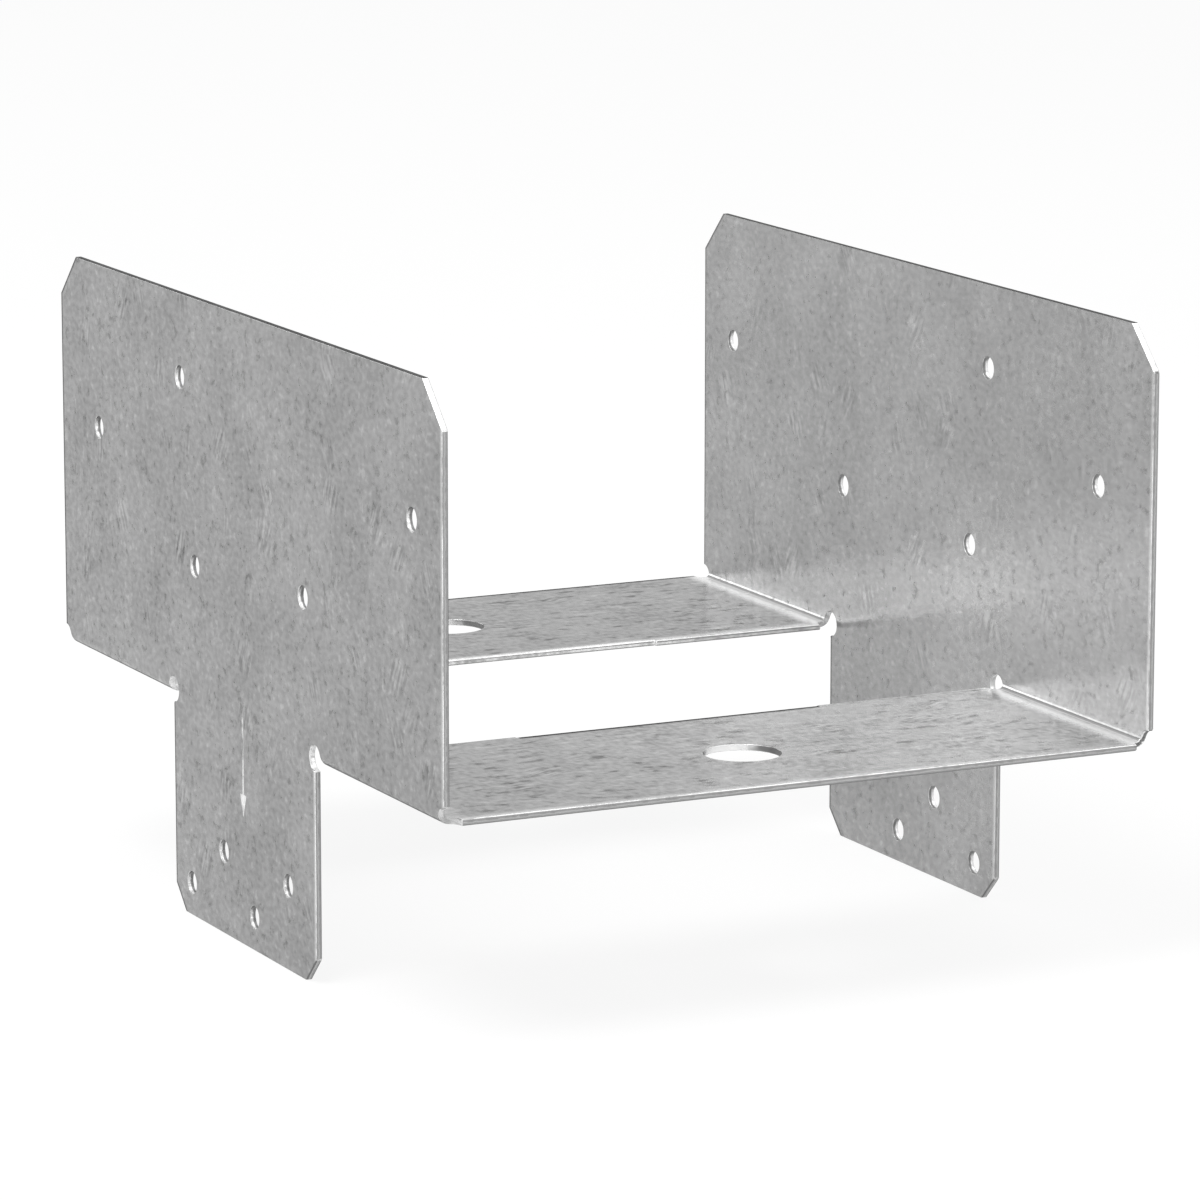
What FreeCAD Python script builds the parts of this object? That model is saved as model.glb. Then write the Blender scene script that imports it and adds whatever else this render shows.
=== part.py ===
import FreeCAD, Part
import math
import os

from FreeCAD import Vector

# Column cap for a nominal 6 in beam on a nominal 6 in post: one galvanised sheet, punched flat
# and folded twice. Two side plates hold the beam, two straps cross the base between them, and two
# tabs that were cut out of the base hang down beside the post, flat with the side plates.
# X runs across the beam, Y along it and Z up. The origin is the middle of the post's top, under
# the straps.

INCH = 25.4

# Sheet: 18 gauge, with its bend radius, and the layer that keeps its length in a bend as a share
# of the thickness from the inside
SHEET = 1.2
BEND_INSIDE = 1.0
NEUTRAL_SHARE = 0.4

# Saddle for the beam
BEAM_GAP = 5.5 * INCH
LENGTH = 7 * INCH
PLATE_RISE = 3 * INCH
PLATE_CORNER = 5 / 16 * INCH

# Tabs for the post
TAB_WIDTH = 2.625 * INCH
TAB_DROP = 1.625 * INCH
TAB_CORNER = 3 / 16 * INCH

# Window between the tips of the two tabs in the flat sheet, a little wider than the sheared slits
# beside the tabs
WINDOW_REACH = 31.0
WINDOW_EASE = 0.55

# Punched holes
RELIEF_DIAMETER = 3 / 16 * INCH
NAIL_DIAMETER = 11 / 64 * INCH
BOLT_DIAMETER = 9 / 16 * INCH
BOLT_SPACING = 5 * INCH

# Nail places on the left side sheet, in inches: along the beam, then above the seat or above the
# tab's lower edge. The right side sheet has the same places turned half round about Z.
BEAM_NAILS = [(2.75, 1.75), (1.125, 2.375), (0.875, 1.0), (-1.125, 1.125), (-3.0, 2.0)]
POST_NAILS = [(0.375, 0.625), (-0.8125, 0.625), (1.0, 0.25), (-0.1875, 0.25)]

# Worked-out places
BEND_OUTSIDE = BEND_INSIDE + SHEET
BEND_X = BEAM_GAP / 2 - BEND_INSIDE
PLATE_TOP = SHEET + PLATE_RISE
END_Y = LENGTH / 2
SLIT_Y = TAB_WIDTH / 2
HALF_BEND_LENGTH = math.pi / 4 * (BEND_INSIDE + NEUTRAL_SHARE * SHEET)
BEND_LINE_X = BEND_X + HALF_BEND_LENGTH
BEND_LINE_Z = BEND_OUTSIDE - HALF_BEND_LENGTH
PUNCH_REACH = 10.0

LEFT = -1
RIGHT = 1
FRONT = -1
REAR = 1


def on_bend(side, radius, turn):
    """Point on one bend's section: turn 0 meets the strap and turn 90 the side plate."""
    angle = math.radians(turn)
    x = BEND_X + radius * math.sin(angle)
    return Vector(side * x, 0, BEND_OUTSIDE - radius * math.cos(angle))


def strap_section():
    """Section across the beam of a strap with the bend at each end of it."""
    edges = []
    for side in (LEFT, RIGHT):
        outside = [on_bend(side, BEND_OUTSIDE, turn) for turn in (0, 45, 90)]
        inside = [on_bend(side, BEND_INSIDE, turn) for turn in (90, 45, 0)]
        edges.append(Part.Arc(*outside).toShape())
        edges.append(Part.makeLine(outside[-1], inside[0]))
        edges.append(Part.Arc(*inside).toShape())
    for radius in (BEND_OUTSIDE, BEND_INSIDE):
        edges.append(Part.makeLine(on_bend(LEFT, radius, 0), on_bend(RIGHT, radius, 0)))
    return Part.Face(Part.Wire(Part.sortEdges(edges)[0]))


def bend_relief(side, y):
    """Round punch through a bend: out of the plate sideways and out of the strap downwards."""
    corner = Vector(side * BEND_LINE_X, y, BEND_LINE_Z)
    beside = corner + Vector(side * PUNCH_REACH, 0, 0)
    below = corner - Vector(0, 0, PUNCH_REACH)
    path = Part.makePolygon([beside, corner, below])
    circle = Part.makeCircle(RELIEF_DIAMETER / 2, beside, Vector(1, 0, 0))
    make_solid, keep_upright, sharp_corner = True, False, 1
    return path.makePipeShell([Part.Wire(circle)], make_solid, keep_upright, sharp_corner)


def side_punch(side, y, z, diameter):
    """Round punch straight through a side plate or tab."""
    start = Vector(side * (BEAM_GAP / 2 - PUNCH_REACH), y, z)
    return Part.makeCylinder(diameter / 2, SHEET + 2 * PUNCH_REACH, start, Vector(side, 0, 0))


def strap_punch(y):
    """Round punch straight down through a strap."""
    start = Vector(0, y, -PUNCH_REACH)
    return Part.makeCylinder(BOLT_DIAMETER / 2, SHEET + 2 * PUNCH_REACH, start, Vector(0, 0, 1))


def window_edge():
    """The punched window between the straps, where it stands back from the sheared slits."""
    half_width = SLIT_Y + WINDOW_EASE
    corner = Vector(-WINDOW_REACH, -half_width, -PUNCH_REACH)
    return Part.makeBox(2 * WINDOW_REACH, 2 * half_width, SHEET + 2 * PUNCH_REACH, corner)


def strap(end):
    """One strap with its two bends, from the slit beside the tabs out to the end of the sheet."""
    start = min(end * SLIT_Y, end * END_Y)
    blank = strap_section().translated(Vector(0, start, 0)).extrude(Vector(0, END_Y - SLIT_Y, 0))
    reliefs = [bend_relief(side, end * y) for side in (LEFT, RIGHT) for y in (SLIT_Y, END_Y)]
    return blank.cut([window_edge(), strap_punch(end * BOLT_SPACING / 2), *reliefs])


def side_outline(side):
    """Face of one side plate with its tab, corners cut off, on the sheet's inner surface."""
    half = [
        (SLIT_Y - TAB_CORNER, -TAB_DROP),
        (SLIT_Y, TAB_CORNER - TAB_DROP),
        (SLIT_Y, BEND_OUTSIDE),
        (END_Y, BEND_OUTSIDE),
        (END_Y, PLATE_TOP - PLATE_CORNER),
        (END_Y - PLATE_CORNER, PLATE_TOP),
    ]
    outline = half + [(-y, z) for y, z in reversed(half)]
    points = [Vector(side * BEAM_GAP / 2, y, z) for y, z in outline]
    return Part.Face(Part.makePolygon(points + points[:1]))


def side_sheet(side):
    """One side plate and its tab, with the nail holes and the reliefs on the bend line."""
    blank = side_outline(side).extrude(Vector(side * SHEET, 0, 0))
    nails = [(y * INCH, SHEET + z * INCH) for y, z in BEAM_NAILS]
    nails += [(y * INCH, z * INCH - TAB_DROP) for y, z in POST_NAILS]
    punches = [side_punch(side, -side * y, z, NAIL_DIAMETER) for y, z in nails]
    for y in (-END_Y, -SLIT_Y, SLIT_Y, END_Y):
        punches.append(side_punch(side, y, BEND_LINE_Z, RELIEF_DIAMETER))
    return blank.cut(punches)


def cap_body():
    """The whole folded sheet as one solid."""
    pieces = [side_sheet(RIGHT), strap(FRONT), strap(REAR)]
    return side_sheet(LEFT).fuse(pieces).removeSplitter()


def main():
    os.makedirs("parts", exist_ok=True)
    body = cap_body()
    if len(body.Solids) != 1 or not body.isValid():
        raise RuntimeError("the folded sheet did not come out as one sound solid")
    body.Solids[0].exportStep("parts/cap_body.step")
    box = body.BoundBox
    volume = body.Volume / 1000
    print(f"cap_body {box.XLength:.2f} x {box.YLength:.2f} x {box.ZLength:.2f} mm, {volume:.2f} cm3")


main()
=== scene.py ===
import math

import bmesh
import bpy
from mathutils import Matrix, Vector


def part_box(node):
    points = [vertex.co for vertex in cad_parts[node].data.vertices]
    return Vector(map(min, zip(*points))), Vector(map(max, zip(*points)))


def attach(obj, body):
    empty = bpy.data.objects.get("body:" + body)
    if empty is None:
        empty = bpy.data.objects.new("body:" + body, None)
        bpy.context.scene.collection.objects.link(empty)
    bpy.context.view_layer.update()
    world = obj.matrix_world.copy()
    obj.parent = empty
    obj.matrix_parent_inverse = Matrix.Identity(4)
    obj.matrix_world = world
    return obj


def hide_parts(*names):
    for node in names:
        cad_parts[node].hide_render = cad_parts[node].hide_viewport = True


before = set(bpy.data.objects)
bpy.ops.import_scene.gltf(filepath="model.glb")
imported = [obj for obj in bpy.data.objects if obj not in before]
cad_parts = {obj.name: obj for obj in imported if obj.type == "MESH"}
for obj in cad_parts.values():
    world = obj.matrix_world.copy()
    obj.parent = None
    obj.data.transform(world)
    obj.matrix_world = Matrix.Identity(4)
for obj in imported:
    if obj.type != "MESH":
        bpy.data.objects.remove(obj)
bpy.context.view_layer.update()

bl_info = {
    "name": "Column Cap",
    "version": (1, 0, 0),
    "blender": (4, 5, 0),
    "location": "View3D > Sidebar > Column Cap",
    "description": "Dresses the packed column cap as a folded galvanised sheet and sets up a plain studio",
    "category": "Object",
}

NODE = "cap_body"
MM = 0.001
WHITE = (1, 1, 1, 1)

# Outermost places of the part, and one along it between the window in the base and the ends. X runs across
# the beam, Y along it and Z up from the top of the post.
NODE_LOW, NODE_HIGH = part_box(NODE)
OUTER_X = NODE_HIGH.x
END_Y = NODE_HIGH.y
TOP_Z = NODE_HIGH.z
MID_Y = 0.5 * END_Y

# Sizes of the punched blank: how far the window in the base stands back from the slits beside the tabs, how
# far it reaches to each side, and how much is cut off the corners of the plates and tabs
WINDOW_EASE = 0.55 * MM
WINDOW_REACH = 31 * MM
PLATE_CORNER = 7.9375 * MM
TAB_CORNER = 4.7625 * MM
CUT_ANGLE = math.radians(45)

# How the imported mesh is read: how near two points are one, how flat two faces are one and what is a corner
MERGE_DISTANCE = 0.001 * MM
FLAT_ANGLE = math.radians(0.2)
CORNER_ANGLE = math.radians(30)

# How the faces are told apart: the share of the thickness that still counts as a side of the sheet, the
# longest rim of a round hole, and the largest face and longest edge in the arc of a relief
SHEET_SIDE = 0.02
LONGEST_RIM = 60 * MM
LARGEST_ARC_FACE = 1.5 * MM * MM
LONGEST_ARC_EDGE = 1.5 * MM

# The arrow on the left tab: its upper end, where the head begins, the tip and half the head's width
ARROW_TOP = 2.0 * MM
ARROW_NECK = -12.6 * MM
ARROW_TIP = -16.9 * MM
ARROW_WING = 1.45 * MM


class SheetSettings(bpy.types.PropertyGroup):
    """Sizes of the folded sheet and of the mark stamped in it."""

    thickness: bpy.props.FloatProperty(
        name="Sheet thickness", description="Thickness of the galvanised sheet",
        default=1.2 * MM, min=0.5 * MM, max=4 * MM, unit="LENGTH", precision=5)
    bend_radius: bpy.props.FloatProperty(
        name="Inside bend radius", description="Radius on the inside of the two folds",
        default=1.0 * MM, min=0.5 * MM, max=6 * MM, unit="LENGTH", precision=5)
    tab_width: bpy.props.FloatProperty(
        name="Tab width", description="Width of the tabs that hang beside the post",
        default=66.675 * MM, min=10 * MM, max=170 * MM, unit="LENGTH", precision=5)
    rounding: bpy.props.FloatProperty(
        name="Edge rounding", description="How far the zinc coat rounds off the sheared edges",
        default=0.24 * MM, min=0.02 * MM, max=0.5 * MM, unit="LENGTH", precision=5)
    window_rounding: bpy.props.FloatProperty(
        name="Window rounding", description="How far the upper edges of the window in the base are rolled",
        default=0.5 * MM, min=0.02 * MM, max=0.54 * MM, unit="LENGTH", precision=5)
    top_rounding: bpy.props.FloatProperty(
        name="Top rounding", description="How far the top edges, which were cut last, are rounded off",
        default=0.12 * MM, min=0.02 * MM, max=0.5 * MM, unit="LENGTH", precision=5)
    hole_rounding: bpy.props.FloatProperty(
        name="Hole rounding", description="How far the coat rounds off the rims of the punched holes",
        default=0.1 * MM, min=0.02 * MM, max=0.4 * MM, unit="LENGTH", precision=5)
    rounding_steps: bpy.props.IntProperty(
        name="Rounding steps", description="Faces across each rounded edge", default=4, min=1, max=6)
    mark_depth: bpy.props.FloatProperty(
        name="Arrow depth", description="How deep the arrow is stamped in the tab",
        default=0.12 * MM, min=0.02 * MM, max=0.5 * MM, unit="LENGTH", precision=5)
    mark_width: bpy.props.FloatProperty(
        name="Arrow line width", description="Width of the stamped arrow's line",
        default=0.7 * MM, min=0.2 * MM, max=2 * MM, unit="LENGTH", precision=5)


class ZincSettings(bpy.types.PropertyGroup):
    """Colours and gloss of the zinc coat and of the sheared edges. Some of them also paint highlights and
    shade onto the sheet.
    """

    zinc: bpy.props.FloatVectorProperty(
        name="Zinc", description="Plain colour of the zinc coat",
        subtype="COLOR", size=4, min=0, max=1, default=(0.325, 0.325, 0.325, 1))
    # The dark fleck colour is also the painted shade line in the creases of the folds
    dark: bpy.props.FloatVectorProperty(
        name="Dark flecks and crease shade", description="Colour of the dark flecks in the coat, and of the painted shade in the creases",
        subtype="COLOR", size=4, min=0, max=1, default=(0.16, 0.16, 0.16, 1))
    # The light stroke colour is also the painted light low on the insides of the plates, and the base colour
    # of the rolled window edges, which is partly a painted highlight
    light: bpy.props.FloatVectorProperty(
        name="Light strokes and painted light", description="Colour of the bright crystals in the coat, and of painted light",
        subtype="COLOR", size=4, min=0, max=1, default=(0.54, 0.54, 0.54, 1))
    # The rim colour is partly zinc rubbed bright and partly a painted highlight. The rounded edges and walls
    # that face the front or up take it, as do the strips beside front-facing edges, the painted highlight at
    # the folds and the fronts of the bolt holes
    rim_and_highlight: bpy.props.FloatVectorProperty(
        name="Rubbed rim and highlight", description="Colour of the rounded edges, rubbed bright, and of painted highlights",
        subtype="COLOR", size=4, min=0, max=1, default=(0.74, 0.74, 0.74, 1))
    steel: bpy.props.FloatVectorProperty(
        name="Sheared steel", description="Colour of the sheared steel in the thickness of the sheet",
        subtype="COLOR", size=4, min=0, max=1, default=(0.29, 0.29, 0.29, 1))
    # The cut-off colour is also the painted shade beside the edges that face the rear, along the cut corners
    # and low on the outsides of the folds
    cut_off_and_shade: bpy.props.FloatVectorProperty(
        name="Cut-off steel and shade", description="Colour of the duller edges where the blank was cut to length, and of painted shade",
        subtype="COLOR", size=4, min=0, max=1, default=(0.09, 0.09, 0.09, 1))
    # The burr colour is partly the rough side of the shear and partly painted shade, on faces that turn down
    # or away from the front and on the duller sides of the bolt holes
    burr_and_shade: bpy.props.FloatVectorProperty(
        name="Burr side and shade", description="Colour of the rough side of the sheared edges, and of painted shade",
        subtype="COLOR", size=4, min=0, max=1, default=(0.18, 0.18, 0.18, 1))
    grazing: bpy.props.FloatProperty(
        name="Grazing gloss", description="Share of its gloss that the coat keeps at a low angle",
        default=0.87, min=0, max=1, subtype="FACTOR")
    roughness: bpy.props.FloatProperty(
        name="Coat roughness", description="Mean roughness of the zinc coat",
        default=0.21, min=0.05, max=1, subtype="FACTOR")


class StudioSettings(bpy.types.PropertyGroup):
    """Camera, floor and light."""

    camera_place: bpy.props.FloatVectorProperty(
        name="Camera place", description="Where the camera stands",
        subtype="TRANSLATION", unit="LENGTH", size=3, default=(-0.51095, -1.048916, 0.250809))
    camera_turn: bpy.props.FloatVectorProperty(
        name="Camera turn", description="How the camera is turned", subtype="EULER", unit="ROTATION",
        size=3, default=tuple(math.radians(a) for a in (78.71297, -0.02012, -26.07615)))
    lens: bpy.props.FloatProperty(
        name="Lens", description="Focal length on a 36 mm wide sensor, in millimetres",
        default=188.834, min=10, max=500)
    floor: bpy.props.FloatVectorProperty(
        name="Floor", description="Colour of the floor",
        subtype="COLOR", size=4, min=0, max=1, default=(0.86, 0.86, 0.86, 1))
    floor_size: bpy.props.FloatProperty(
        name="Floor half size", description="Half the width of the floor",
        default=6.0, min=1, max=50, unit="LENGTH")
    sky_light: bpy.props.FloatProperty(
        name="Room light", description="Strength of the light that comes evenly from all round",
        default=0.7, min=0, max=2)


def new_node(tree, kind, inputs=None, **settings):
    """Adds one node. inputs maps its sockets to a value or to the output that feeds them."""
    node = tree.nodes.new("ShaderNode" + kind)
    for name, value in settings.items():
        setattr(node, name, value)
    for socket, value in (inputs or {}).items():
        if isinstance(value, bpy.types.NodeSocket):
            tree.links.new(value, node.inputs[socket])
        else:
            node.inputs[socket].default_value = value
    return node


def maths(tree, operation, *values):
    """Output of one Math node."""
    return new_node(tree, "Math", dict(enumerate(values)), operation=operation).outputs[0]


def chained(tree, operation, first, *others):
    """Output of a row of Math nodes, each of which takes in one more value."""
    for other in others:
        first = maths(tree, operation, first, other)
    return first


def weighted_sum(tree, start, *terms):
    """A start value with a share of each other value added to it."""
    for value, share in terms:
        start = maths(tree, "MULTIPLY_ADD", value, share, start)
    return start


def ramp(tree, value, low, high, to_low=0.0, to_high=1.0):
    """Output of a smooth Map Range node, clamped to its two ends."""
    ends = {"From Min": low, "From Max": high, "To Min": to_low, "To Max": to_high}
    node = new_node(tree, "MapRange", {"Value": value, **ends}, interpolation_type="SMOOTHSTEP")
    return node.outputs["Result"]


def falling(tree, value, low, high):
    """A mask that is 1 up to the low end and 0 from the high end on."""
    return ramp(tree, value, low, high, 1.0, 0.0)


def mixed(tree, factor, first, second):
    """Output of a Mix node for two colours."""
    return new_node(tree, "Mix", {0: factor, 6: first, 7: second}, data_type="RGBA").outputs[2]


def blended(tree, factor, first, second):
    """Output of a Mix node for two numbers."""
    return new_node(tree, "Mix", {0: factor, 2: first, 3: second}, data_type="FLOAT").outputs[0]


def split(tree, vector):
    """The X, Y and Z of a vector."""
    return new_node(tree, "SeparateXYZ", {"Vector": vector}).outputs


def geometry(tree, name):
    """One output of the Geometry node."""
    return new_node(tree, "NewGeometry").outputs[name]


def noise(tree, cells, detail, roughness=0.5):
    """Output of a Noise texture with about one lump to a cell."""
    return new_node(tree, "TexNoise", {
        "Vector": cells, "Scale": 1.0, "Detail": detail, "Roughness": roughness}).outputs["Fac"]


def rolled_coordinates(tree, vector, length, width):
    """Coordinates in cells of this length across the folds, as the sheet was rolled, and this width."""
    along = maths(tree, "DIVIDE", 1.0, length)
    across = maths(tree, "DIVIDE", 1.0, width)
    scale = new_node(tree, "CombineXYZ", {"X": along, "Y": across, "Z": along}).outputs[0]
    return new_node(tree, "VectorMath", {0: vector, 1: scale}, operation="MULTIPLY").outputs[0]


def turned_about_x(tree, vector, angle):
    """Coordinates turned about the X axis."""
    turned = new_node(tree, "VectorRotate", {"Vector": vector, "Angle": angle}, rotation_type="X_AXIS")
    return turned.outputs[0]


def new_group(name, values):
    """A shader node group that takes a place and these values. Returns its tree and its inputs."""
    tree = bpy.data.node_groups.new(name, "ShaderNodeTree")
    tree.interface.new_socket("Vector", in_out="INPUT", socket_type="NodeSocketVector")
    for socket, value in values.items():
        made = tree.interface.new_socket(socket, in_out="INPUT", socket_type="NodeSocketFloat")
        made.default_value = value
    return tree, tree.nodes.new("NodeGroupInput").outputs


def finish_group(tree, results):
    """Gives a node group its outputs and returns it."""
    for socket in results:
        tree.interface.new_socket(socket, in_out="OUTPUT", socket_type="NodeSocketFloat")
    end = tree.nodes.new("NodeGroupOutput")
    for socket, value in results.items():
        tree.links.new(value, end.inputs[socket])
    return tree


def use_group(tree, group, vector, **values):
    """Places a node group in a tree and returns its outputs."""
    return new_node(tree, "Group", {"Vector": vector, **values}, node_tree=group).outputs


# Ranges of the noise that show as dark flecks, light flecks and strokes, and the range that the clouds and
# the grain take up
DARK_FLECKS = (0.25, 0.46)
LIGHT_FLECKS = (0.56, 0.74)
STROKES = (0.3, 0.7)
CLOUDS = (0.25, 0.75)

# Which grains of the zinc have strokes, by chance, and how far from its middle a grain's strokes fade out
GRAINS_WITH_STROKES = (0.3, 0.8)
STROKES_FADE = (0.2, 0.52)


def fleck_group():
    """Node group: scattered dark and light flecks of uneven shape."""
    tree, given = new_group("Zinc Flecks", {"Length": 1.8 * MM, "Width": 2.1 * MM})
    cells = rolled_coordinates(tree, given["Vector"], given["Length"], given["Width"])
    field = noise(tree, cells, 2.5, 0.62)
    return finish_group(tree, {
        "Dark": falling(tree, field, *DARK_FLECKS), "Light": ramp(tree, field, *LIGHT_FLECKS)})


def spangle_group():
    """Node group: feathery strokes in some grains of the zinc, lying another way in each."""
    tree, given = new_group("Spangle Strokes", {
        "Grain": 10 * MM, "Stroke Length": 4.5 * MM, "Stroke Width": 0.9 * MM, "Turn": 1.1})
    in_grains = rolled_coordinates(tree, given["Vector"], given["Grain"], given["Grain"])
    grains = new_node(tree, "TexVoronoi", {"Vector": in_grains, "Scale": 1.0}).outputs
    chance = new_node(tree, "SeparateColor", {"Color": grains["Color"]}).outputs
    angle = maths(tree, "MULTIPLY", maths(tree, "SUBTRACT", chance[0], 0.5), given["Turn"])
    lying = {"Vector": given["Vector"], "Axis": geometry(tree, "True Normal"), "Angle": angle}
    turned = new_node(tree, "VectorRotate", lying, rotation_type="AXIS_ANGLE").outputs[0]
    cells = rolled_coordinates(tree, turned, given["Stroke Length"], given["Stroke Width"])
    stroke = ramp(tree, noise(tree, cells, 1.0), *STROKES, -1.0, 1.0)
    has_strokes = ramp(tree, chance[1], *GRAINS_WITH_STROKES)
    near_middle = falling(tree, grains["Distance"], *STROKES_FADE)
    return finish_group(tree, {"Stroke": chained(tree, "MULTIPLY", stroke, has_strokes, near_middle)})


def cloud_group():
    """Node group: broad faint clouds and fine grain in the coat, each from -1 to 1."""
    tree, given = new_group("Zinc Clouds", {
        "Cloud": 16 * MM, "Grain Length": 1.0 * MM, "Grain Width": 1.7 * MM})
    in_clouds = rolled_coordinates(tree, given["Vector"], given["Cloud"], given["Cloud"])
    in_grain = rolled_coordinates(tree, given["Vector"], given["Grain Length"], given["Grain Width"])
    return finish_group(tree, {
        "Cloud": ramp(tree, noise(tree, in_clouds, 2.0), *CLOUDS, -1.0, 1.0),
        "Grain": ramp(tree, noise(tree, in_grain, 0.0), *CLOUDS, -1.0, 1.0)})


# Painted light in a fold, measured outwards from where the bend begins and up from the strap. It gives where
# the painted highlight on the strap fades out, standing in for the reflection of the fold's own highlight,
# and where the painted shade line in the crease lies, between its start and its end
HIGHLIGHT_FADE_UP = (0.25 * MM, 0.5 * MM)
HIGHLIGHT_FADE_OUT = (0.6 * MM, 0.8 * MM)
CREASE_UP = 0.25 * MM
CREASE_FADE = (0.1 * MM, 0.25 * MM)
CREASE_START = 0.2 * MM
CREASE_END = (0.85 * MM, 0.95 * MM)

# The painted highlight is weaker in the left fold
HIGHLIGHT_CHANGE_X = (-20 * MM, 20 * MM)
HIGHLIGHT_LEFT_RIGHT = (0.3, 1.0)

# Painted shade on the outside of a fold, where it turns down: past the reliefs, out from where the bend
# begins, and how far up it fades out
OUTSIDE_PAST_Y = 35.5 * MM
OUTSIDE_START = 0.4 * MM
OUTSIDE_FADE_Z = (0.45 * MM, 1.1 * MM)


def fold_light_and_shade_group(size):
    """Node group: a painted highlight on the strap at a fold, standing in for the reflection of the fold's
    own highlight, a painted shade line in the crease, and painted shade on the fold's outside.
    """
    tree, given = new_group("Fold Light And Shade", {
        "Fold": OUTER_X - size.thickness - size.bend_radius, "Reach": 4.6 * MM, "Height": size.thickness})
    spot = split(tree, given["Vector"])
    out = maths(tree, "SUBTRACT", maths(tree, "ABSOLUTE", spot["X"]), given["Fold"])
    up = maths(tree, "SUBTRACT", spot["Z"], given["Height"])
    share = maths(tree, "ADD", maths(tree, "DIVIDE", out, given["Reach"]), 1.0)
    painted_light = chained(
        tree, "MULTIPLY", ramp(tree, share, 0.0, 0.8), falling(tree, up, *HIGHLIGHT_FADE_UP),
        ramp(tree, spot["X"], *HIGHLIGHT_CHANGE_X, *HIGHLIGHT_LEFT_RIGHT), falling(tree, out, *HIGHLIGHT_FADE_OUT))
    from_crease = maths(tree, "ABSOLUTE", maths(tree, "SUBTRACT", up, CREASE_UP))
    crease_shade = chained(
        tree, "MULTIPLY", falling(tree, from_crease, *CREASE_FADE), falling(tree, out, *CREASE_END),
        maths(tree, "GREATER_THAN", out, CREASE_START))
    from_middle = maths(tree, "ABSOLUTE", spot["Y"])
    outside = chained(
        tree, "MULTIPLY", falling(tree, spot["Z"], *OUTSIDE_FADE_Z),
        maths(tree, "GREATER_THAN", from_middle, OUTSIDE_PAST_Y),
        maths(tree, "GREATER_THAN", out, OUTSIDE_START))
    return finish_group(tree, {"Painted Light": painted_light, "Crease Shade": crease_shade, "Outside Shade": outside})


# Share of its reach that a strip beside an edge runs on past the edge, so that it takes in the rounding
PAST_EDGE = 0.7


def edge_light_strip_group():
    """Node group: a strip beside an edge, fading over its reach, between two heights and two sides, which
    masks painted highlight and painted shade.
    """
    tree, given = new_group("Edge Light Strip", {
        "Edge": -END_Y, "Reach": 1.1 * MM, "Low": 0.0, "High": 1.0, "Side": 1.0})
    spot = split(tree, given["Vector"])
    away = maths(tree, "DIVIDE", maths(tree, "SUBTRACT", spot["Y"], given["Edge"]), given["Reach"])
    strip = chained(
        tree, "MULTIPLY", falling(tree, away, 0.0, 1.0), maths(tree, "GREATER_THAN", away, -PAST_EDGE),
        maths(tree, "GREATER_THAN", spot["Z"], given["Low"]),
        maths(tree, "LESS_THAN", spot["Z"], given["High"]),
        maths(tree, "LESS_THAN", maths(tree, "ABSOLUTE", spot["X"]), given["Side"]))
    return finish_group(tree, {"Painted Light": strip})


# How far the strips of painted highlight and of painted shade beside the sheared edges reach, on plates and
# tabs and on straps
BRIGHT_ON_PLATE = 1.1 * MM
BRIGHT_ON_STRAP = 2.2 * MM
DARK_ON_PLATE = 0.9 * MM
DARK_ON_STRAP = 1.6 * MM

# Heights that part the strips of plates, straps and tabs, and one past the ends of all of them
ABOVE_STRAP = 0.05 * MM
STRAP_LOW = 0.5 * MM
TAB_HIGH = -0.1 * MM
FAR = 100 * MM

# The lowest and highest point of the rear corners' strips of painted shade, once the cut is turned upright
PLATE_CUT = (-20 * MM, 5 * MM)
TAB_CUT = (-15 * MM, 5 * MM)


def sheet_edge_group(size):
    """Node group: strips of painted highlight beside edges that face the front, and strips of painted shade
    where they face the rear.
    """
    tree, given = new_group("Sheet Edges", {})
    place = given["Vector"]
    painted_light = edge_light_strip_group()

    def strip(vector, edge, reach, heights, side=FAR):
        low, high = heights
        return use_group(tree, painted_light, vector, Edge=edge, Reach=reach, Low=low, High=high, Side=side)["Painted Light"]

    strap_high = size.thickness + ABOVE_STRAP
    on_plate, on_strap, on_tab = (strap_high, FAR), (STRAP_LOW, strap_high), (-FAR, TAB_HIGH)
    tab_edge = size.tab_width / 2
    window_edge = tab_edge + WINDOW_EASE
    bright = (
        strip(place, -END_Y, BRIGHT_ON_PLATE, on_plate),
        strip(place, -END_Y, BRIGHT_ON_STRAP, on_strap),
        strip(place, -tab_edge, BRIGHT_ON_PLATE, on_tab),
        strip(place, window_edge, BRIGHT_ON_STRAP, on_strap),
    )
    plate_cut = (END_Y + TOP_Z - PLATE_CORNER) * math.cos(CUT_ANGLE)
    tab_cut = (tab_edge - NODE_LOW.z - TAB_CORNER) * math.cos(CUT_ANGLE)
    rolled_edge = window_edge + size.window_rounding
    dark = (
        strip(place, END_Y, -DARK_ON_PLATE, on_plate),
        strip(place, END_Y, -DARK_ON_STRAP, on_strap),
        strip(place, tab_edge, -DARK_ON_PLATE, on_tab),
        strip(place, -rolled_edge, -DARK_ON_STRAP, on_strap, WINDOW_REACH),
        strip(turned_about_x(tree, place, -CUT_ANGLE), plate_cut, -DARK_ON_PLATE, PLATE_CUT),
        strip(turned_about_x(tree, place, CUT_ANGLE), tab_cut, -DARK_ON_PLATE, TAB_CUT),
    )
    return finish_group(tree, {
        "Bright": chained(tree, "MAXIMUM", *bright), "Dark": chained(tree, "MAXIMUM", *dark)})


def new_material(name):
    """A material with an empty node tree. Returns it, its tree and its object coordinates."""
    material = bpy.data.materials.new(name)
    material.use_nodes = True
    tree = material.node_tree
    tree.nodes.clear()
    return material, tree, new_node(tree, "TexCoord").outputs["Object"]


def grey(value):
    """An even grey as a colour."""
    return (value, value, value, 1.0)


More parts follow.
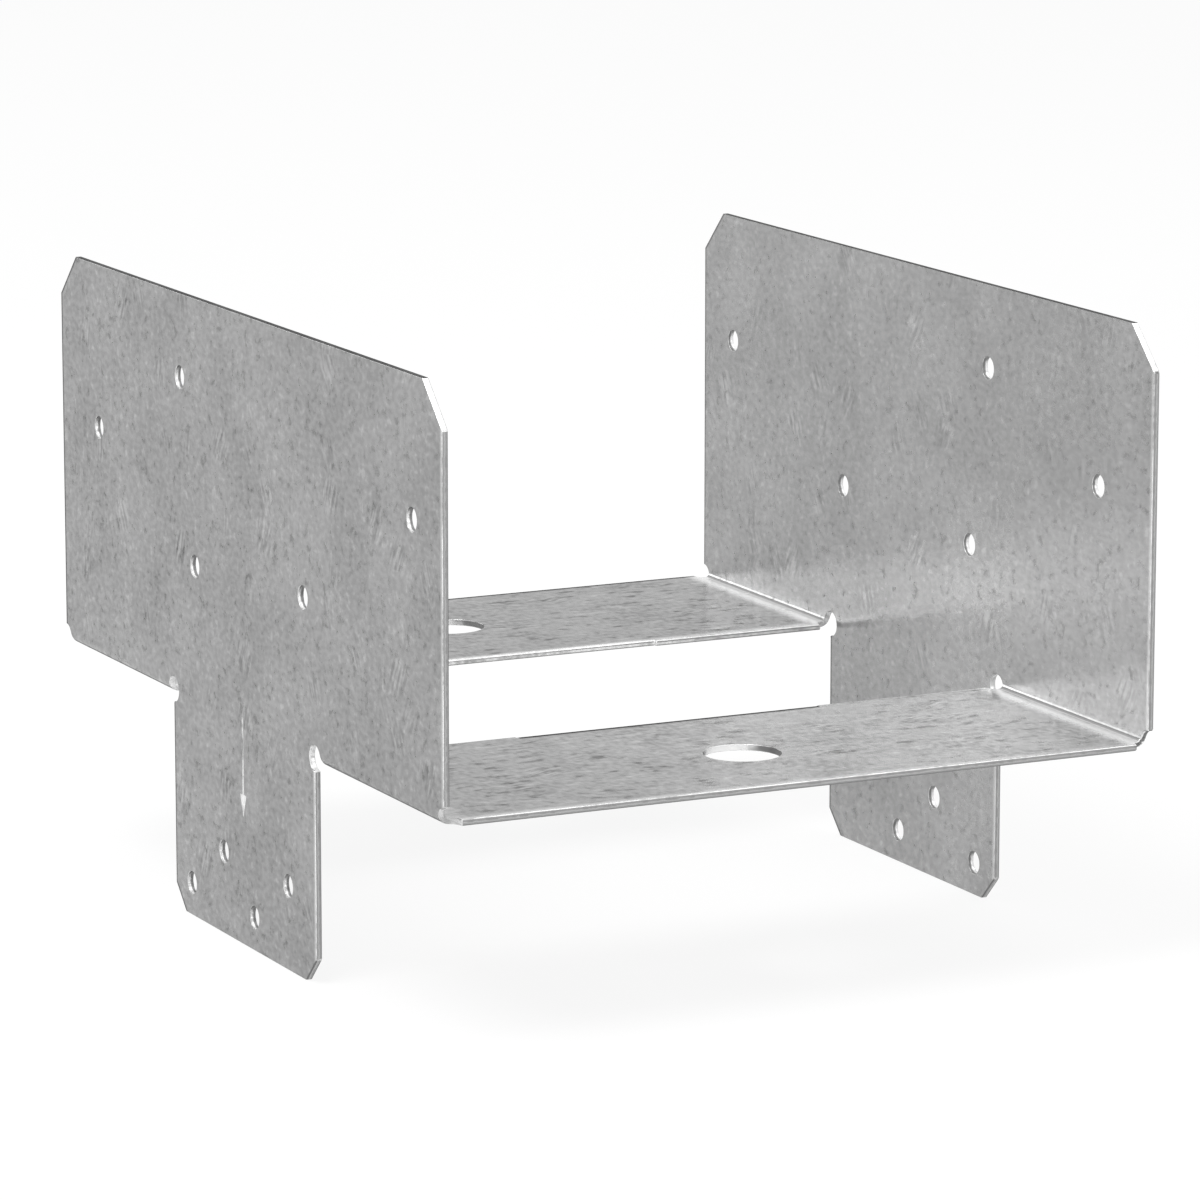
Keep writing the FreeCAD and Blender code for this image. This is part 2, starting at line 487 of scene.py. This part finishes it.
def metal_shader(tree, grazing, colour, roughness, grain, relief, metallic=1.0):
    """Finishes a material: a metal with this gloss at a low angle, colour, roughness and depth of grain."""
    bump = new_node(tree, "Bump", {"Height": grain, "Strength": 1.0, "Distance": relief})
    shader = new_node(tree, "BsdfPrincipled", {
        "Base Color": colour, "Roughness": roughness, "Metallic": metallic, "Specular Tint": grazing,
        "Normal": bump.outputs["Normal"]})
    output = new_node(tree, "OutputMaterial")
    tree.links.new(shader.outputs["BSDF"], output.inputs["Surface"])


# Painted sheen on the straps, given as gloss at a low angle. Above 0 it makes them shine and below 0 it
# dulls them as painted shade. The front strap changes from its left to its right side, and the rear strap is
# even
FRONT_SHEEN_X = (-40 * MM, 30 * MM)
FRONT_SHEEN = (-0.1, 0.8)
REAR_SHEEN = -0.17

# Inner sides of the plates: how far up their painted lighter lower part fades out, and where along the beam
# that part and the painted shade at the front corner in it do
LOW_INSIDE_Z = (15 * MM, 55 * MM)
PALE_FRONT_Y = (-35 * MM, 15 * MM)
SHADE_CORNER_Y = (-75 * MM, -35 * MM)

# Flecks on the straps: their size, the strength of the light ones, and the strength of the dark ones from no
# painted sheen to the most
STRAP_FLECK_LENGTH = 4.6 * MM
STRAP_FLECK_WIDTH = 2.0 * MM
STRAP_LIGHT_FLECKS = 1.2
STRAP_DARK_FLECKS = (1.1, 0.7)


def face_areas(tree, place):
    """Masks of the areas of the sheet that look different from one another: painted sheen on the straps,
    painted light low on the insides of the plates and painted shade at their front corner.

    On the inside of a plate the normal points to the middle, so its X and the place's X differ in sign.
    """
    facing = split(tree, geometry(tree, "True Normal"))
    spot = split(tree, place)
    on_strap = ramp(tree, maths(tree, "ABSOLUTE", facing["Z"]), 0.5, 0.9)
    at_rear = maths(tree, "GREATER_THAN", spot["Y"], 0.0)
    sheen = blended(tree, at_rear, ramp(tree, spot["X"], *FRONT_SHEEN_X, *FRONT_SHEEN), REAR_SHEEN)
    outward = maths(tree, "MULTIPLY", facing["X"], spot["X"])
    inside = falling(tree, outward, -0.9 * OUTER_X, -0.5 * OUTER_X)
    low_inside = maths(tree, "MULTIPLY", falling(tree, spot["Z"], *LOW_INSIDE_Z), inside)
    return {
        "strap": on_strap,
        "sheen": maths(tree, "MULTIPLY", sheen, on_strap),
        "inside": inside,
        "painted pale front": maths(tree, "MULTIPLY", falling(tree, spot["Y"], *PALE_FRONT_Y), low_inside),
        "painted shade corner": maths(tree, "MULTIPLY", falling(tree, spot["Y"], *SHADE_CORNER_Y), low_inside),
    }


def face_flecks(tree, group, place, areas):
    """Dark and light flecks, which are longer on the straps."""
    short = use_group(tree, group, place)
    long = use_group(tree, group, place, Length=STRAP_FLECK_LENGTH, Width=STRAP_FLECK_WIDTH)
    most_sheen = FRONT_SHEEN[1]
    strength = ramp(tree, areas["sheen"], 0.0, most_sheen, *STRAP_DARK_FLECKS)
    long_dark = maths(tree, "MULTIPLY", long["Dark"], strength)
    long_light = maths(tree, "MULTIPLY", long["Light"], STRAP_LIGHT_FLECKS)
    dark = blended(tree, areas["strap"], short["Dark"], long_dark)
    return dark, blended(tree, areas["strap"], short["Light"], long_light)


def face_colour(tree, masks, look):
    """Colour of the zinc with its crystals and flecks, and its painted highlights, painted shade and the
    painted shade line in the creases.
    """
    colour = mixed(tree, maths(tree, "MAXIMUM", masks["bright"], 0.0), tuple(look.zinc), tuple(look.light))
    colour = mixed(tree, masks["shade"], colour, tuple(look.dark))
    colour = mixed(tree, maths(tree, "MULTIPLY", masks["painted_light"], 0.9), colour, tuple(look.rim_and_highlight))
    colour = mixed(tree, masks["turned"], colour, tuple(look.cut_off_and_shade))
    return mixed(tree, masks["crease_shade"], colour, tuple(look.dark))


def face_gloss(tree, masks, look):
    """Share of its gloss that the zinc keeps at a low angle, place by place: more in the bright crystals,
    the painted sheen and the painted highlights, and less in the dark flecks and the painted shade.
    """
    shining = maths(tree, "MAXIMUM", masks["sheen"], 0.0)
    glossy = maths(tree, "MULTIPLY_ADD", masks["bright"], 2.2, shining)
    glossy = maths(tree, "MAXIMUM", maths(tree, "MINIMUM", glossy, 1.0), 0.0)
    dulled = maths(tree, "MINIMUM", masks["sheen"], 0.0)
    dull = maths(tree, "SUBTRACT", maths(tree, "MULTIPLY", masks["shade"], 1.3), dulled)
    dull = maths(tree, "MINIMUM", dull, 1.0)
    gloss = mixed(tree, glossy, grey(look.grazing), grey(1.0))
    gloss = mixed(tree, dull, gloss, grey(0.45 * look.grazing))
    for name, level in (("painted_light", 1.0), ("turned", 0.1), ("crease_shade", 0.3)):
        gloss = mixed(tree, masks[name], gloss, grey(level))
    return gloss


def zinc_face_material(groups, look):
    """The galvanised faces of the sheet: flecks, spangle and clouds in a satin zinc coat, with painted
    highlights, painted shade and painted sheen on it.
    """
    material, tree, place = new_material("galvanised_face")
    areas = face_areas(tree, place)
    dark_flecks, light_flecks = face_flecks(tree, groups["flecks"], place, areas)
    stroke = use_group(tree, groups["spangle"], place)["Stroke"]
    clouds = use_group(tree, groups["clouds"], place)
    folds = use_group(tree, groups["folds"], place)
    edges = use_group(tree, groups["edges"], place)
    bright = weighted_sum(
        tree, 0.0, (stroke, 0.3), (clouds["Cloud"], 0.1), (clouds["Grain"], 0.1), (light_flecks, 0.32),
        (areas["painted pale front"], 0.2), (areas["painted shade corner"], -0.1))
    shade = weighted_sum(tree, 0.0, (maths(tree, "MINIMUM", bright, 0.0), -1.0), (dark_flecks, 0.41))
    # Painted light: a painted highlight at the folds and beside edges that face the front, painted shade
    # beside edges that face the rear, along the cut corners and low on the folds' outsides, and a painted
    # shade line in the creases
    masks = {
        "bright": bright,
        "shade": maths(tree, "MINIMUM", shade, 1.0),
        "sheen": areas["sheen"],
        "painted_light": maths(tree, "MAXIMUM", folds["Painted Light"], maths(tree, "MULTIPLY", edges["Bright"], 0.7)),
        "turned": maths(tree, "MAXIMUM", folds["Outside Shade"], edges["Dark"]),
        "crease_shade": maths(tree, "MULTIPLY", folds["Crease Shade"], 0.75),
    }
    colour = face_colour(tree, masks, look)
    gloss = face_gloss(tree, masks, look)
    rough = weighted_sum(tree, look.roughness, (clouds["Cloud"], 0.03), (dark_flecks, 0.12))
    # The painted highlight at the folds, the insides of the plates and their painted shade corner take less
    # metal
    metallic = weighted_sum(
        tree, 0.97, (areas["inside"], -0.27), (folds["Painted Light"], -0.75), (areas["painted shade corner"], -0.3))
    metal_shader(tree, gloss, colour, rough, clouds["Grain"], relief=0.004 * MM, metallic=metallic)
    return material


def rubbed_edge(name, groups, look, base, smoothing, relief, metallic):
    """An edge that is rubbed bright in places, and smoother there."""
    material, tree, place = new_material(name)
    clouds = use_group(tree, groups["clouds"], place)
    worn = ramp(tree, weighted_sum(tree, clouds["Cloud"], (clouds["Grain"], 0.4)), -1.4, 0.6)
    colour = mixed(tree, worn, tuple(base), tuple(look.rim_and_highlight))
    rough = weighted_sum(tree, look.roughness, (worn, -smoothing))
    metal_shader(tree, grey(look.grazing), colour, rough, clouds["Grain"], relief, metallic)
    return material


def rim_material(groups, look):
    """The rounded edges of the sheet, where handling rubs the zinc bright. On the edges that face the front
    or up, the bright colour is also a painted highlight.
    """
    return rubbed_edge(
        "rubbed_rim_and_highlight", groups, look, base=look.zinc, smoothing=0.06, relief=0.003 * MM, metallic=0.3)


def rolled_material(groups, look):
    """The upper edges of the window, which the punch drew down and polished, in a light colour that is
    partly a painted highlight.
    """
    return rubbed_edge(
        "rolled_edge", groups, look, base=look.light, smoothing=0.03, relief=0.002 * MM, metallic=0.35)


def dull_steel(name, groups, look, base):
    """Bare, dull steel with uneven shade."""
    material, tree, place = new_material(name)
    clouds = use_group(tree, groups["clouds"], place)
    uneven = weighted_sum(tree, clouds["Cloud"], (clouds["Grain"], 0.5))
    colour = mixed(tree, ramp(tree, uneven, -1.0, 1.2, 0.0, 0.3), tuple(base), tuple(look.steel))
    rough = weighted_sum(tree, look.roughness + 0.2, (clouds["Cloud"], 0.05))
    metal_shader(tree, grey(0.5 * look.grazing), colour, rough, clouds["Grain"], relief=0.005 * MM)
    return material


def cut_off_material(groups, look):
    """The top edges, where the blank was cut to length."""
    return dull_steel("cut_off_edge", groups, look, base=look.cut_off_and_shade)


def burr_and_shade_material(groups, look):
    """The rough side of the sheared edges, partly painted shade where they face down or away, and the walls
    of the reliefs that turn away from the front or lie in the right-hand notch, whose dark colour is painted
    shade.
    """
    return dull_steel("burr_and_shade_edge", groups, look, base=look.burr_and_shade)


def through_sheet(tree):
    """Depth through the sheet, from its inside (0) to its outside (1), as sort_faces stores it."""
    return new_node(tree, "Attribute", attribute_name="through").outputs["Fac"]


def edge_material(groups, look):
    """The sheared edges: a band burnished by the blade in duller steel."""
    material, tree, place = new_material("sheared_edge")
    clouds = use_group(tree, groups["clouds"], place)
    ragged = weighted_sum(tree, through_sheet(tree), (clouds["Grain"], 0.06))
    band = maths(tree, "MULTIPLY", ramp(tree, ragged, 0.4, 0.55), falling(tree, ragged, 0.62, 0.75))
    colour = mixed(tree, maths(tree, "MULTIPLY", band, 0.3), tuple(look.steel), tuple(look.rim_and_highlight))
    shade = ramp(tree, clouds["Grain"], 0.0, -1.0, 0.0, 0.15)
    colour = mixed(tree, shade, colour, tuple(look.dark))
    rough = ramp(tree, band, 0.0, 1.0, look.roughness + 0.12, look.roughness)
    gloss = grey(look.grazing)
    metal_shader(tree, gloss, colour, rough, clouds["Grain"], relief=0.005 * MM, metallic=0.85)
    return material


def punched_material(groups, look):
    """The walls of the nail holes: a bright land where the punch went in, then torn, duller steel."""
    material, tree, place = new_material("punched_wall")
    clouds = use_group(tree, groups["clouds"], place)
    facing = split(tree, geometry(tree, "True Normal"))
    ragged = weighted_sum(tree, through_sheet(tree), (clouds["Grain"], 0.08))
    land = maths(tree, "MULTIPLY", ramp(tree, ragged, 0.4, 0.65), ramp(tree, facing["Z"], -0.8, -0.1))
    colour = mixed(tree, land, tuple(look.burr_and_shade), tuple(look.rim_and_highlight))
    rough = ramp(tree, land, 0.0, 1.0, look.roughness + 0.15, look.roughness)
    gloss = grey(look.grazing)
    metal_shader(tree, gloss, colour, rough, clouds["Grain"], relief=0.003 * MM, metallic=0.4)
    return material


def bolt_wall_material(groups, look):
    """The walls of the bolt holes: a painted highlight where they face the front, standing in for the
    reflection in their middle, and duller steel round the sides.
    """
    material, tree, place = new_material("bolt_wall")
    clouds = use_group(tree, groups["clouds"], place)
    facing = split(tree, geometry(tree, "Normal"))
    ragged = weighted_sum(tree, facing["Y"], (clouds["Grain"], 0.05))
    front_highlight = falling(tree, ragged, -0.95, -0.5)
    colour = mixed(tree, front_highlight, tuple(look.burr_and_shade), tuple(look.rim_and_highlight))
    rough = weighted_sum(tree, look.roughness + 0.15, (front_highlight, -0.1))
    gloss = grey(0.5 * look.grazing)
    metal_shader(tree, gloss, colour, rough, clouds["Grain"], relief=0.003 * MM, metallic=0.5)
    return material


FINISHES = (zinc_face_material, rim_material, edge_material, cut_off_material, punched_material,
            burr_and_shade_material, bolt_wall_material, rolled_material)
FACE, RIM, SHEARED, CUT_OFF, PUNCHED, BURR_AND_SHADE, BOLT_WALL, ROLLED = range(len(FINISHES))


def merged_copy(node):
    """A bmesh of a CAD node's mesh, its triangles joined and its flat faces made whole."""
    bm = bmesh.new()
    bm.from_mesh(node.data)
    bmesh.ops.remove_doubles(bm, verts=bm.verts, dist=MERGE_DISTANCE)
    bmesh.ops.dissolve_limit(bm, angle_limit=FLAT_ANGLE, use_dissolve_boundaries=False, verts=bm.verts,
                             edges=bm.edges, delimit=set())
    return bm


def hole_rims(corners):
    """The corner edges that make a short closed ring of their own: the rims of the round holes."""
    left = set(corners)
    rims = []
    while left:
        ring, new = [], [left.pop()]
        while new:
            edge = new.pop()
            ring.append(edge)
            near = {e for v in edge.verts for e in v.link_edges} & left
            left -= near
            new.extend(near)
        if sum(e.calc_length() for e in ring) < LONGEST_RIM:
            rims.extend(ring)
    return rims


def corner_reach(edge, is_hole_rim, size):
    """How far one corner edge is rounded off."""
    first, second = (v.co for v in edge.verts)
    if is_hole_rim:
        return size.hole_rounding
    if min(first.z, second.z) > TOP_Z - MERGE_DISTANCE:
        return size.top_rounding
    off_strap_top = max(abs(first.z - size.thickness), abs(second.z - size.thickness))
    if off_strap_top < MERGE_DISTANCE and max(abs(first.y), abs(second.y)) < MID_Y:
        return size.window_rounding
    return size.rounding


def weigh_corners(bm, size):
    """Marks each corner edge with its share of the full rounding, and the walls of the round holes."""
    weight = bm.edges.layers.float.new("bevel_weight_edge")
    punched = bm.faces.layers.int.new("punched")
    corners = [e for e in bm.edges if e.calc_face_angle() > CORNER_ANGLE]
    rims = set(hole_rims(corners))
    for edge in corners:
        edge[weight] = corner_reach(edge, edge in rims, size) / size.window_rounding
    for face in bm.faces:
        face[punched] = len(face.edges) == 4 and len(rims.intersection(face.edges)) == 2


def object_from(bm, name):
    """A new object at the origin with this bmesh as its mesh."""
    mesh = bpy.data.meshes.new(name)
    bm.to_mesh(mesh)
    bm.free()
    made = bpy.data.objects.new(name, mesh)
    bpy.context.scene.collection.objects.link(made)
    return made


def apply_modifier(made, modifier):
    """Applies a modifier to its object."""
    bpy.context.view_layer.objects.active = made
    bpy.ops.object.modifier_apply(modifier=modifier.name)


def round_off(made, size):
    """Rounds off the marked edges of an object."""
    bevel = made.modifiers.new("rounded edges", "BEVEL")
    bevel.affect = "EDGES"
    bevel.limit_method = "WEIGHT"
    bevel.offset_type = "OFFSET"
    bevel.width = size.window_rounding
    bevel.segments = size.rounding_steps
    bevel.profile = 0.5
    bevel.material = -1
    bevel.use_clamp_overlap = False
    apply_modifier(made, bevel)


def depth_through(place, size):
    """Share of the sheet's thickness from the inside of the folds (0) to the outside (1) at a point."""
    inner_x = OUTER_X - size.thickness
    bend_x = inner_x - size.bend_radius
    bend_z = size.thickness + size.bend_radius
    x = abs(place.x)
    if x < bend_x:
        return 1 - place.z / size.thickness
    if place.z > bend_z or place.z < 0 or abs(place.y) < size.tab_width / 2 + MERGE_DISTANCE:
        return (x - inner_x) / size.thickness
    reach = math.hypot(x - bend_x, bend_z - place.z)
    return (reach - size.bend_radius) / size.thickness


def wall_finish(face, middle, is_punched, in_window):
    """Place in the list of materials for a face that spans the middle of the sheet's thickness. Walls that
    face up or lie in the window take the bright rim, a painted highlight. Relief walls that face the front
    take it too, and those that face the rear or lie in the right-hand notch take the dark burr finish,
    painted shade.
    """
    if is_punched:
        return PUNCHED if abs(middle.x) > 0.5 * OUTER_X else BOLT_WALL
    if face.calc_area() > LARGEST_ARC_FACE:
        # Walls that face up or lie in the window: the bright rim, a painted highlight
        return RIM if face.normal.z > 0.3 or in_window else SHEARED
    # Relief walls that face the front: the bright rim, a painted highlight. Those that face the rear or lie
    # in the right-hand notch: the dark burr finish, painted shade
    in_right_notch = middle.x > 0 and middle.y < -0.9 * END_Y
    return RIM if face.normal.y < 0.2 and not in_right_notch else BURR_AND_SHADE


def rounding_finish(face, middle, depth, in_window):
    """Place in the list of materials for a face in a rounded edge. Which way it faces decides much of it.
    The bright rim and rolled finishes on edges that face the front or up are partly a painted highlight, and
    the dark burr finish on edges that face down, the rear, or right and to the front is partly painted
    shade.
    """
    facing = face.normal
    # Rounded edges along arcs that face the front: the bright rim, a painted highlight
    if max(e.calc_length() for e in face.edges) < LONGEST_ARC_EDGE:
        return RIM if facing.y < -0.3 else FACE
    # Rolled window edges: a light finish, partly a painted highlight, and painted shade where they face the
    # rear on the front strap
    if in_window and facing.z > 0.2:
        return ROLLED if facing.y < 0 or middle.y > 0 else BURR_AND_SHADE
    # Rounded edges that face down: the dark burr finish, partly the burr side of the shear and partly
    # painted shade
    if facing.z < -0.25:
        return SHEARED if in_window else BURR_AND_SHADE
    # Rounded edges that face right and to the front: the dark burr finish, painted shade
    if facing.x > 0.25:
        return BURR_AND_SHADE if facing.y < -0.2 else FACE
    return SHEARED if 0.1 < depth < 0.9 and facing.z < 0.2 else RIM


def finish_of(face, depths, is_punched, size):
    """Place in the list of materials for one face of the sheet."""
    middle = face.calc_center_median()
    in_window = abs(middle.y) < MID_Y and 0 < middle.z < size.thickness
    if max(depths) < SHEET_SIDE or min(depths) > 1 - SHEET_SIDE:
        return FACE
    if min(v.co.z for v in face.verts) > TOP_Z - 1.5 * size.top_rounding:
        return CUT_OFF
    if min(depths) < 0.5 < max(depths):
        return wall_finish(face, middle, is_punched, in_window)
    return rounding_finish(face, middle, sum(depths) / len(depths), in_window)


def sort_faces(made, size):
    """Keeps the points in the part's box, stores their depth and gives each face its material."""
    bm = bmesh.new()
    bm.from_mesh(made.data)
    punched = bm.faces.layers.int["punched"]
    through = bm.verts.layers.float.new("through")
    for vert in bm.verts:
        vert.co = [min(max(v, low), high) for v, low, high in zip(vert.co, NODE_LOW, NODE_HIGH)]
        vert[through] = depth_through(vert.co, size)
    for face in bm.faces:
        depths = [v[through] for v in face.verts]
        face.material_index = finish_of(face, depths, face[punched], size)
        face.smooth = True
    bm.to_mesh(made.data)
    bm.free()


def arrow_cutter(size):
    """A closed bmesh of the stamped arrow, set into the outer face of the left tab."""
    half = size.mark_width / 2
    right = [(half, ARROW_TOP), (half, ARROW_NECK), (ARROW_WING, ARROW_NECK)]
    outline = right + [(0, ARROW_TIP)] + [(-y, z) for y, z in reversed(right)]
    bm = bmesh.new()
    face = bm.faces.new([bm.verts.new((-OUTER_X - size.mark_depth, y, z)) for y, z in outline])
    moved = bmesh.ops.extrude_face_region(bm, geom=[face])["geom"]
    floor = [v for v in moved if isinstance(v, bmesh.types.BMVert)]
    bmesh.ops.translate(bm, verts=floor, vec=(2 * size.mark_depth, 0, 0))
    bmesh.ops.recalc_face_normals(bm, faces=bm.faces)
    for face in bm.faces:
        face.material_index = RIM
    return bm


def stamp_arrow(made, size):
    """Stamps the arrow into an object."""
    cutter = object_from(arrow_cutter(size), "arrow_cutter")
    stamp = made.modifiers.new("stamped arrow", "BOOLEAN")
    stamp.operation = "DIFFERENCE"
    stamp.solver = "EXACT"
    stamp.object = cutter
    apply_modifier(made, stamp)
    bpy.data.objects.remove(cutter)


class CAP_OT_folded_sheet(bpy.types.Operator):
    """Make the folded sheet with rounded edges and its galvanised finish"""

    bl_idname = "column_cap.folded_sheet"
    bl_label = "Folded Sheet"

    def execute(self, context):
        size = context.scene.cap_sheet
        look = context.scene.cap_zinc
        groups = {
            "flecks": fleck_group(),
            "spangle": spangle_group(),
            "clouds": cloud_group(),
            "folds": fold_light_and_shade_group(size),
            "edges": sheet_edge_group(size),
        }
        bm = merged_copy(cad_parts[NODE])
        weigh_corners(bm, size)
        sheet = object_from(bm, "folded_sheet")
        round_off(sheet, size)
        for make in FINISHES:
            sheet.data.materials.append(make(groups, look))
        sort_faces(sheet, size)
        sheet.data.set_sharp_from_angle(angle=CORNER_ANGLE)
        stamp_arrow(sheet, size)
        steady = sheet.modifiers.new("flat faces stay flat", "WEIGHTED_NORMAL")
        steady.keep_sharp = True
        steady.weight = 100
        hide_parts(NODE)
        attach(sheet, "root")
        return {"FINISHED"}


# Soft boxes that light the part: name, place, width, height and how bright the face is. All face one point.
SOFT_BOXES = (
    ("back_box", (-0.859, 1.762, 0.428), 0.98, 0.74, 3.1),
    ("front_box", (0, -1.5, 0.5), 2.2, 0.85, 1.4),
    ("top_box_right", (0.62, -0.28, 1.3), 1.0, 1.0, 1.35),
    ("top_box_left", (-0.64, -0.29, 1.3), 0.7, 0.7, 9.0),
)
LIGHT_AIM = Vector((0, 0, 0.02))

# Share of plain white in the floor where it is looked at, and its faint grain
FLOOR_WHITE = 0.86
FLOOR_GRAIN = 0.02
FLOOR_GRAIN_SCALE = 3.0

# The camera: the width of its sensor in millimetres, and the nearest and farthest that it sees
SENSOR_WIDTH = 36
NEAREST_SEEN = 0.05
FARTHEST_SEEN = 50


def soft_box(name, place, width, height, radiance):
    """A rectangular area light. Its power follows from how bright its face is."""
    lamp = bpy.data.lights.new(name, "AREA")
    lamp.shape = "RECTANGLE"
    lamp.size = width
    lamp.size_y = height
    lamp.energy = radiance * width * height * math.pi
    made = bpy.data.objects.new(name, lamp)
    made.location = place
    made.rotation_euler = (LIGHT_AIM - Vector(place)).to_track_quat("-Z", "Y").to_euler()
    made.visible_camera = False
    bpy.context.scene.collection.objects.link(made)


def seen_directly(tree):
    """1 for a ray from the camera, from a gloss or through glass, and 0 for soft light."""
    path = new_node(tree, "LightPath").outputs
    return chained(
        tree, "MAXIMUM", path["Is Camera Ray"], path["Is Glossy Ray"], path["Is Transmission Ray"])


class CAP_OT_studio(bpy.types.Operator):
    """Set up the pale floor, the soft studio light and the camera"""

    bl_idname = "column_cap.studio"
    bl_label = "Studio"

    def execute(self, context):
        scene = context.scene
        studio = scene.cap_studio
        self.make_floor(studio)
        self.make_room(scene, studio)
        for values in SOFT_BOXES:
            soft_box(*values)
        self.make_camera(scene, studio)
        scene.view_settings.view_transform = "Standard"
        return {"FINISHED"}

    def make_floor(self, studio):
        bm = bmesh.new()
        bmesh.ops.create_grid(bm, x_segments=4, y_segments=4, size=studio.floor_size)
        bmesh.ops.translate(bm, verts=bm.verts, vec=(0, 0, NODE_LOW.z))
        floor = object_from(bm, "floor")
        material, tree, place = new_material("pale_floor")
        grain = new_node(tree, "TexNoise", {"Vector": place, "Scale": FLOOR_GRAIN_SCALE, "Detail": 2.0})
        paler = tuple(min(1.0, c + FLOOR_GRAIN) for c in studio.floor)
        colour = mixed(tree, grain.outputs["Fac"], tuple(studio.floor), paler)
        matt = new_node(tree, "BsdfDiffuse", {"Color": colour})
        white = new_node(tree, "Emission", {"Color": WHITE, "Strength": 1.0})
        share = maths(tree, "MULTIPLY", seen_directly(tree), FLOOR_WHITE)
        surface = new_node(tree, "MixShader", {0: share, 1: matt.outputs[0], 2: white.outputs[0]})
        output = new_node(tree, "OutputMaterial")
        tree.links.new(surface.outputs[0], output.inputs["Surface"])
        floor.data.materials.append(material)

    def make_room(self, scene, studio):
        world = bpy.data.worlds.new("white_room")
        world.use_nodes = True
        tree = world.node_tree
        tree.nodes.clear()
        soft = new_node(tree, "Background", {"Color": WHITE, "Strength": studio.sky_light})
        white = new_node(tree, "Background", {"Color": WHITE, "Strength": 1.0})
        room = {0: seen_directly(tree), 1: soft.outputs[0], 2: white.outputs[0]}
        output = new_node(tree, "OutputWorld")
        tree.links.new(new_node(tree, "MixShader", room).outputs[0], output.inputs["Surface"])
        scene.world = world

    def make_camera(self, scene, studio):
        camera = bpy.data.objects.new("camera", bpy.data.cameras.new("camera"))
        camera.location = studio.camera_place
        camera.rotation_euler = studio.camera_turn
        camera.data.sensor_width = SENSOR_WIDTH
        camera.data.lens = studio.lens
        camera.data.clip_start = NEAREST_SEEN
        camera.data.clip_end = FARTHEST_SEEN
        scene.collection.objects.link(camera)
        scene.camera = camera


class CAP_PT_panel(bpy.types.Panel):
    """Column cap settings and the buttons that make it"""

    bl_idname = "CAP_PT_panel"
    bl_label = "Column Cap"
    bl_space_type = "VIEW_3D"
    bl_region_type = "UI"
    bl_category = "Column Cap"

    def draw(self, context):
        scene = context.scene
        groups = (("Sheet", scene.cap_sheet), ("Zinc", scene.cap_zinc), ("Studio", scene.cap_studio))
        for title, group in groups:
            box = self.layout.box()
            box.label(text=title)
            for name in group.__annotations__:
                box.prop(group, name)
        for operator in OPERATORS:
            self.layout.operator(operator.bl_idname)


OPERATORS = (CAP_OT_folded_sheet, CAP_OT_studio)
SETTINGS = {"cap_sheet": SheetSettings, "cap_zinc": ZincSettings, "cap_studio": StudioSettings}
CLASSES = (*SETTINGS.values(), *OPERATORS, CAP_PT_panel)


def register():
    for cls in CLASSES:
        bpy.utils.register_class(cls)
    for name, cls in SETTINGS.items():
        setattr(bpy.types.Scene, name, bpy.props.PointerProperty(type=cls))


def unregister():
    for name in SETTINGS:
        delattr(bpy.types.Scene, name)
    for cls in reversed(CLASSES):
        bpy.utils.unregister_class(cls)


def main():
    register()
    bpy.ops.column_cap.folded_sheet()
    bpy.ops.column_cap.studio()


if __name__ == "__main__":
    main()
